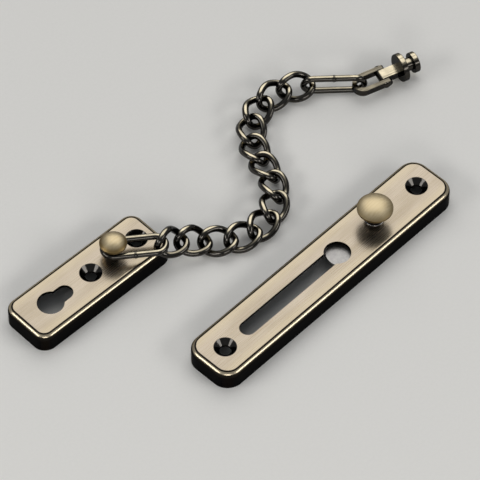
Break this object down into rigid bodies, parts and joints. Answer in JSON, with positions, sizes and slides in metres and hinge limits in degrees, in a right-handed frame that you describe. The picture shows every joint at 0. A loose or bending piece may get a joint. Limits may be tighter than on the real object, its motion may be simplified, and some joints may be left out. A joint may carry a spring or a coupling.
{
  "type": "door chain",
  "caption": "Door chain with a slotted slide plate and sprung push latch, a keeper plate with a keyhole, a twisted curb chain and a spool pin in a riveted fork",
  "frame": {"origin": "middle of the slide plate's length and width, at the level of the plates' backs", "axes": "+X along the slide plate from the slot's far end to the knob, +Y to the keeper plate, +Z out of the door"},
  "size_m": [0.189, 0.0852, 0.0182],
  "materials": {
    "antique_brass": "brushed antique brass",
    "dark_bronze": "dark patina, rubbed highlights",
    "steel": "bright steel"
  },
  "bodies": {
    "plates": {"slide_plate": "antique_brass", "keeper_plate": "antique_brass", "keeper_stud": "antique_brass", "latch_spring": "steel"},
    "latch": {"latch_knob": "antique_brass", "latch_tongue": "steel"},
    "stud_link": {"stud_link": "dark_bronze"},
    "chain_link_01": {"chain_link_01": "dark_bronze"},
    "chain_link_02": {"chain_link_02": "dark_bronze"},
    "chain_link_03": {"chain_link_03": "dark_bronze"},
    "chain_link_04": {"chain_link_04": "dark_bronze"},
    "chain_link_05": {"chain_link_05": "dark_bronze"},
    "chain_link_06": {"chain_link_06": "dark_bronze"},
    "chain_link_07": {"chain_link_07": "dark_bronze"},
    "chain_link_08": {"chain_link_08": "dark_bronze"},
    "chain_link_09": {"chain_link_09": "dark_bronze"},
    "chain_link_10": {"chain_link_10": "dark_bronze"},
    "chain_link_11": {"chain_link_11": "dark_bronze"},
    "chain_link_12": {"chain_link_12": "dark_bronze"},
    "chain_link_13": {"chain_link_13": "dark_bronze"},
    "end_link": {"end_link": "dark_bronze"},
    "fork": {"fork": "dark_bronze", "fork_rivet": "dark_bronze"},
    "spool_pin": {"spool_pin": "dark_bronze"}
  },
  "joints": [
    {"name": "latch_press", "type": "slide", "parent": "plates", "child": "latch", "axis": [0, 0, -1], "range_m": [0, 0.0025], "stiffness_N_per_m": 400, "springref_m": -0.002, "deforming": ["latch_spring"]},
    {"name": "stud_link_turn", "type": "hinge", "parent": "plates", "child": "stud_link", "pos_m": [-0.04861, 0.0569, 0.012], "axis": [0, 0, 1], "range_deg": [-10, 0]},
    {"name": "chain_link_01_turn", "type": "hinge", "parent": "stud_link", "child": "chain_link_01", "pos_m": [-0.03522, 0.04606, 0.012], "axis": [0, 0, -1], "range_deg": [-3, 10]},
    {"name": "chain_link_02_turn", "type": "hinge", "parent": "chain_link_01", "child": "chain_link_02", "pos_m": [-0.02682, 0.04428, 0.00818], "axis": [0, 0, 1], "range_deg": [-12, 10]},
    {"name": "chain_link_03_turn", "type": "hinge", "parent": "chain_link_02", "child": "chain_link_03", "pos_m": [-0.01954, 0.03955, 0.00457], "axis": [0, 0, -1], "range_deg": [-11, 8]},
    {"name": "chain_link_04_turn", "type": "hinge", "parent": "chain_link_03", "child": "chain_link_04", "pos_m": [-0.01267, 0.03314, 0.00428], "axis": [0, 0, 1], "range_deg": [-15, 3]},
    {"name": "chain_link_05_turn", "type": "hinge", "parent": "chain_link_04", "child": "chain_link_05", "pos_m": [-0.00384, 0.02993, 0.00413], "axis": [0, 0, -1], "range_deg": [-3, 15]},
    {"name": "chain_link_06_turn", "type": "hinge", "parent": "chain_link_05", "child": "chain_link_06", "pos_m": [0.00552, 0.03075, 0.00403], "axis": [0, 0, 1], "range_deg": [-15, 3]},
    {"name": "chain_link_07_turn", "type": "hinge", "parent": "chain_link_06", "child": "chain_link_07", "pos_m": [0.01366, 0.03545, 0.00393], "axis": [0, 0, -1], "range_deg": [-4, 15]},
    {"name": "chain_link_08_turn", "type": "hinge", "parent": "chain_link_07", "child": "chain_link_08", "pos_m": [0.01905, 0.04315, 0.00383], "axis": [0, 0, 1], "range_deg": [-15, 5]},
    {"name": "chain_link_09_turn", "type": "hinge", "parent": "chain_link_08", "child": "chain_link_09", "pos_m": [0.02196, 0.05208, 0.00362], "axis": [0, 0, -1], "range_deg": [-15, 12]},
    {"name": "chain_link_10_turn", "type": "hinge", "parent": "chain_link_09", "child": "chain_link_10", "pos_m": [0.02622, 0.06046, 0.00337], "axis": [0, 0, 1], "range_deg": [-10, 15]},
    {"name": "chain_link_11_turn", "type": "hinge", "parent": "chain_link_10", "child": "chain_link_11", "pos_m": [0.0332, 0.06674, 0.00383], "axis": [0, 0, -1], "range_deg": [-15, 12]},
    {"name": "chain_link_12_turn", "type": "hinge", "parent": "chain_link_11", "child": "chain_link_12", "pos_m": [0.04217, 0.06948, 0.00452], "axis": [0, 0, 1], "range_deg": [-10, 15]},
    {"name": "chain_link_13_turn", "type": "hinge", "parent": "chain_link_12", "child": "chain_link_13", "pos_m": [0.05143, 0.06801, 0.00509], "axis": [0, 0, -1], "range_deg": [-15, 10]},
    {"name": "end_link_turn", "type": "hinge", "parent": "chain_link_13", "child": "end_link", "pos_m": [0.05923, 0.06276, 0.00509], "axis": [0, 0, 1], "range_deg": [-12, 15]},
    {"name": "fork_turn", "type": "hinge", "parent": "end_link", "child": "fork", "pos_m": [0.07428, 0.04822, 0.005], "axis": [0.0269, 0.0829, -0.9962], "range_deg": [-20, 20]},
    {"name": "pin_swing", "type": "hinge", "parent": "fork", "child": "spool_pin", "pos_m": [0.08151, 0.04587, 0.0045], "axis": [0.3078, 0.9474, 0.0872], "range_deg": [-95, 95]}
  ]
}
